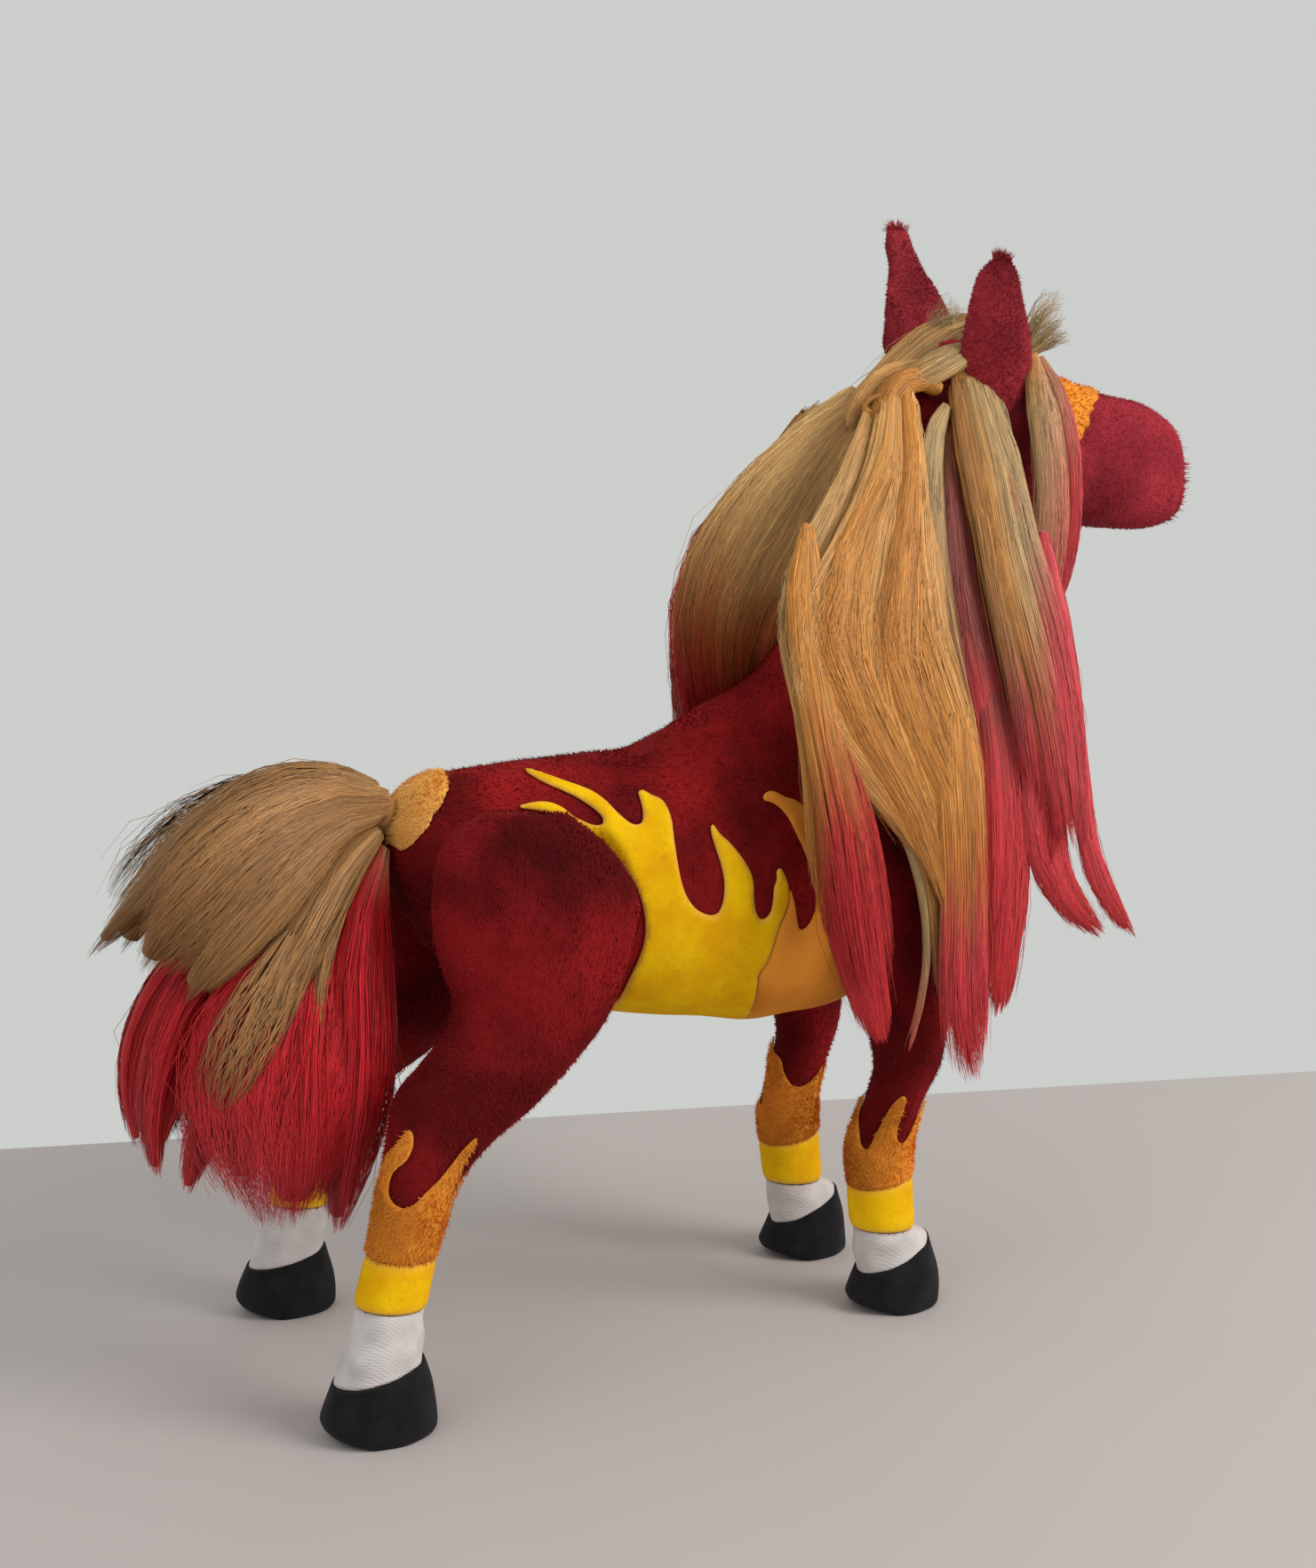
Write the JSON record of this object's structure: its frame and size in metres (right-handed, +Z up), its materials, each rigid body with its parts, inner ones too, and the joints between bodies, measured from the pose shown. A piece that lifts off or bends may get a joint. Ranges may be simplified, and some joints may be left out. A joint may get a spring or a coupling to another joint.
{
  "type": "plush horse",
  "caption": "Standing handmade plush horse with sewn-on flame panels, socks with flame tips, cloth hooves, and a long combed mane and tail fading from blonde to red.",
  "frame": {"origin": "on the ground, under the middle of the whole outline", "axes": "+X towards the nose, +Y to the horse's left, +Z up"},
  "size_m": [0.5206, 0.175, 0.4813],
  "materials": {
    "minky_red": "short pile plush",
    "minky_orange": "short pile plush",
    "felt_yellow": "felt",
    "white_cloth": "smooth cloth",
    "black_cloth": "brushed cloth",
    "hair_blonde": "combed fibre",
    "hair_red": "combed fibre",
    "steel_wire": "drawn wire",
    "eye_plastic": "gloss",
    "washer_plastic": "matte"
  },
  "bodies": {
    "torso": {"torso": "minky_red", "dock_patch": "minky_orange", "flank_flame_right": "felt_yellow", "flank_flame_left": "felt_yellow", "girth_flame_right": "minky_orange", "girth_flame_left": "minky_orange", "spine_wire": "steel_wire", "hip_wire": "steel_wire", "shoulder_wire": "steel_wire", "mane_right": "hair_blonde", "mane_left": "hair_red", "mane_knot": "hair_blonde"},
    "head": {"head": "minky_red", "ear_right": "minky_red", "ear_left": "minky_red", "eye_right": "eye_plastic", "eye_left": "eye_plastic", "eye_washer_right": "washer_plastic", "eye_washer_left": "washer_plastic", "blaze": "minky_orange", "forelock": "hair_blonde"},
    "tail": {"tail_core": "hair_blonde", "tail_hair_top": "hair_blonde", "tail_hair_under": "hair_red"},
    "leg_hind_right": {"leg_hind_right": "minky_red", "flame_cuff_hind_right": "minky_orange", "shin_band_hind_right": "felt_yellow", "pastern_hind_right": "white_cloth", "hoof_hind_right": "black_cloth", "leg_wire_hind_right": "steel_wire"},
    "leg_hind_left": {"leg_hind_left": "minky_red", "flame_cuff_hind_left": "minky_orange", "shin_band_hind_left": "felt_yellow", "pastern_hind_left": "white_cloth", "hoof_hind_left": "black_cloth", "leg_wire_hind_left": "steel_wire"},
    "leg_fore_right": {"leg_fore_right": "minky_red", "flame_cuff_fore_right": "minky_orange", "shin_band_fore_right": "felt_yellow", "pastern_fore_right": "white_cloth", "hoof_fore_right": "black_cloth", "leg_wire_fore_right": "steel_wire"},
    "leg_fore_left": {"leg_fore_left": "minky_red", "flame_cuff_fore_left": "minky_orange", "shin_band_fore_left": "felt_yellow", "pastern_fore_left": "white_cloth", "hoof_fore_left": "black_cloth", "leg_wire_fore_left": "steel_wire"}
  },
  "joints": [
    {"name": "hind_right_swing", "type": "hinge", "parent": "torso", "child": "leg_hind_right", "pos_m": [-0.10164, 0, 0.18808], "axis": [0, 1, 0], "range_deg": [-12, 12]},
    {"name": "hind_left_swing", "type": "hinge", "parent": "torso", "child": "leg_hind_left", "pos_m": [-0.10164, 0, 0.18808], "axis": [0, 1, 0], "range_deg": [-12, 12]},
    {"name": "fore_right_swing", "type": "hinge", "parent": "torso", "child": "leg_fore_right", "pos_m": [0.07236, 0, 0.19003], "axis": [0, 1, 0], "range_deg": [-12, 12]},
    {"name": "fore_left_swing", "type": "hinge", "parent": "torso", "child": "leg_fore_left", "pos_m": [0.07236, 0, 0.19003], "axis": [0, 1, 0], "range_deg": [-12, 12]},
    {"name": "head_turn", "type": "hinge", "parent": "torso", "child": "head", "pos_m": [0.11988, 0, 0.38297], "axis": [0.515, 0, 0.8572], "range_deg": [-20, 20], "deforming": ["mane_right", "mane_left", "mane_knot"]},
    {"name": "tail_lift", "type": "hinge", "parent": "torso", "child": "tail", "pos_m": [-0.14508, 0, 0.21991], "axis": [0, 1, 0], "range_deg": [0, 35]}
  ]
}
